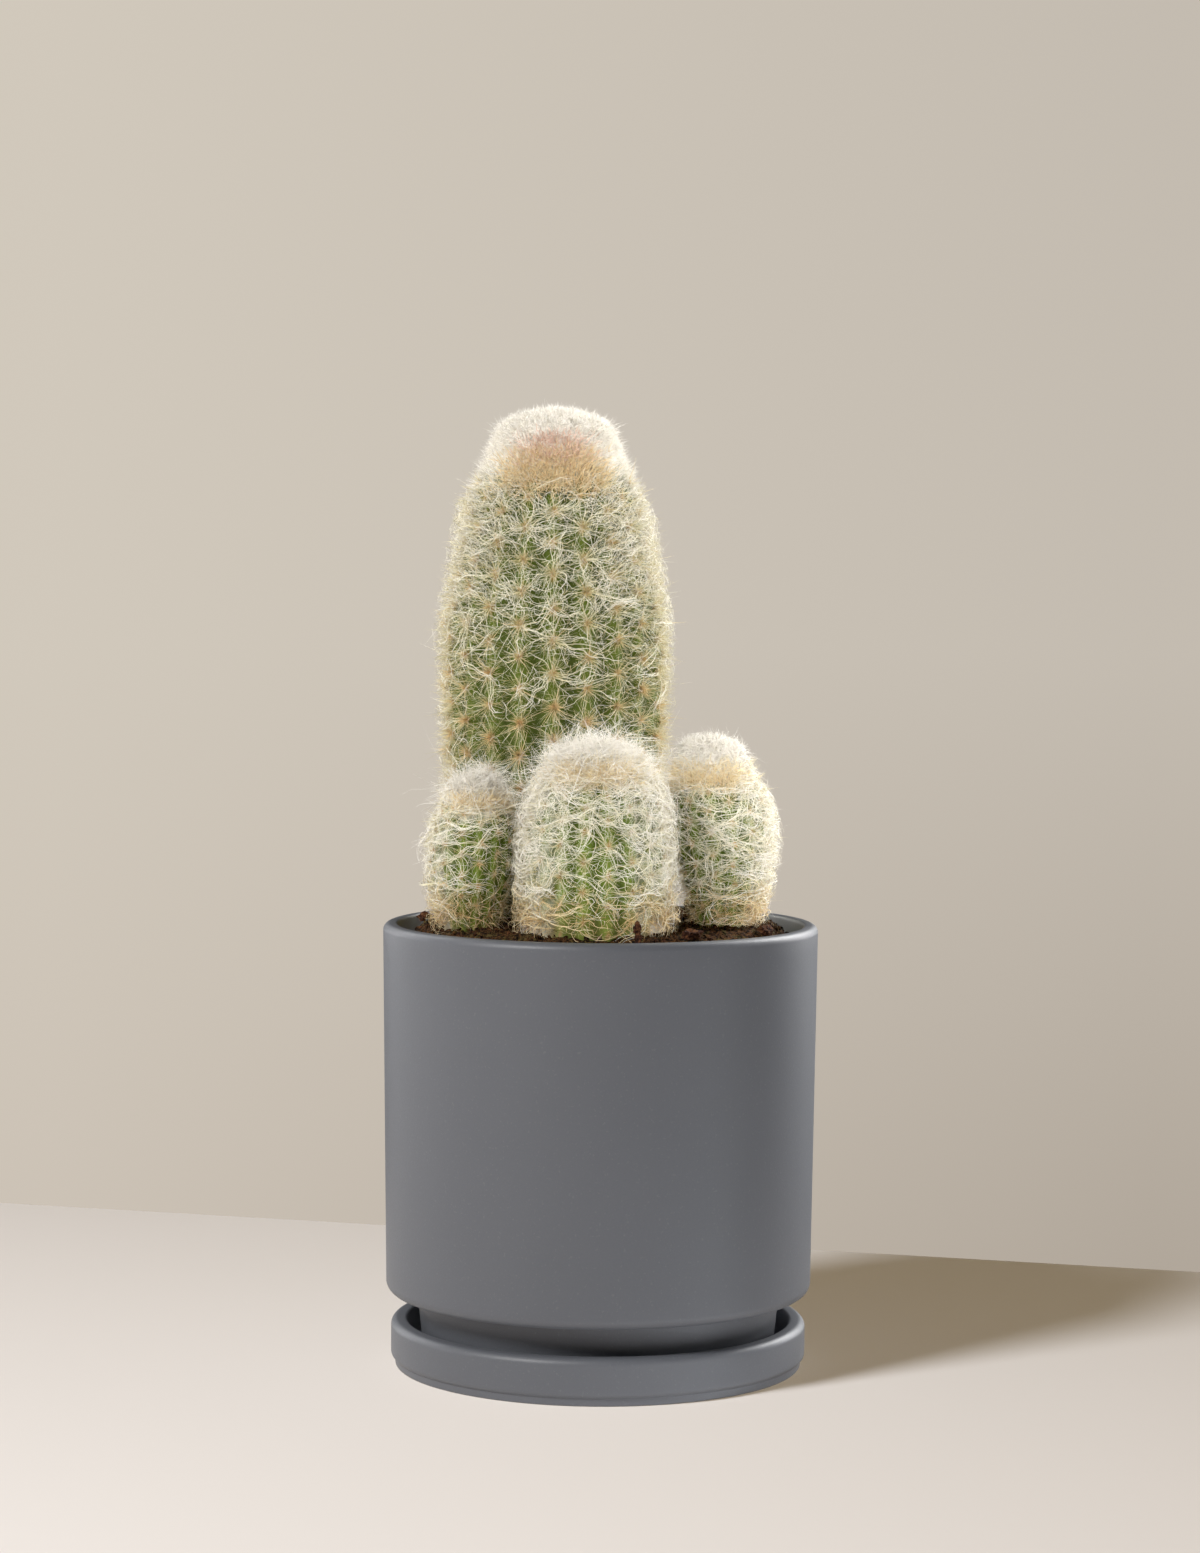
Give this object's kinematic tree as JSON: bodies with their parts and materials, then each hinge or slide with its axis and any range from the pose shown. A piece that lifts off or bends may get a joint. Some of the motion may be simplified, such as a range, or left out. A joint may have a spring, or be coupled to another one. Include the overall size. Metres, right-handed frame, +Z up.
{
  "type": "potted old man cactus",
  "caption": "Clump of woolly, ribbed columnar cactus stems, one tall and the rest short, in a plain matte grey ceramic cylinder pot that stands in a matching round saucer.",
  "frame": {"origin": "centre of the saucer's foot, on the surface that the object stands on", "axes": "+Z up along the pot's axis; -Y is the front, the side with the front stem; +X is to the right as seen from the front"},
  "size_m": [0.13, 0.13, 0.2871],
  "materials": {
    "ceramic": "matte",
    "soil": "matte",
    "stem": "matte",
    "bark": "matte"
  },
  "bodies": {
    "root": {"saucer": "ceramic", "pot": "ceramic", "soil": "soil", "tall_stem": "stem", "front_stem": "stem", "left_stem": "stem", "right_stem": "stem", "bark_splinter_front": "bark", "bark_chip_front": "bark", "bark_chip_right": "bark", "bark_chip_back": "bark", "bark_chip_left": "bark"}
  },
  "joints": []
}
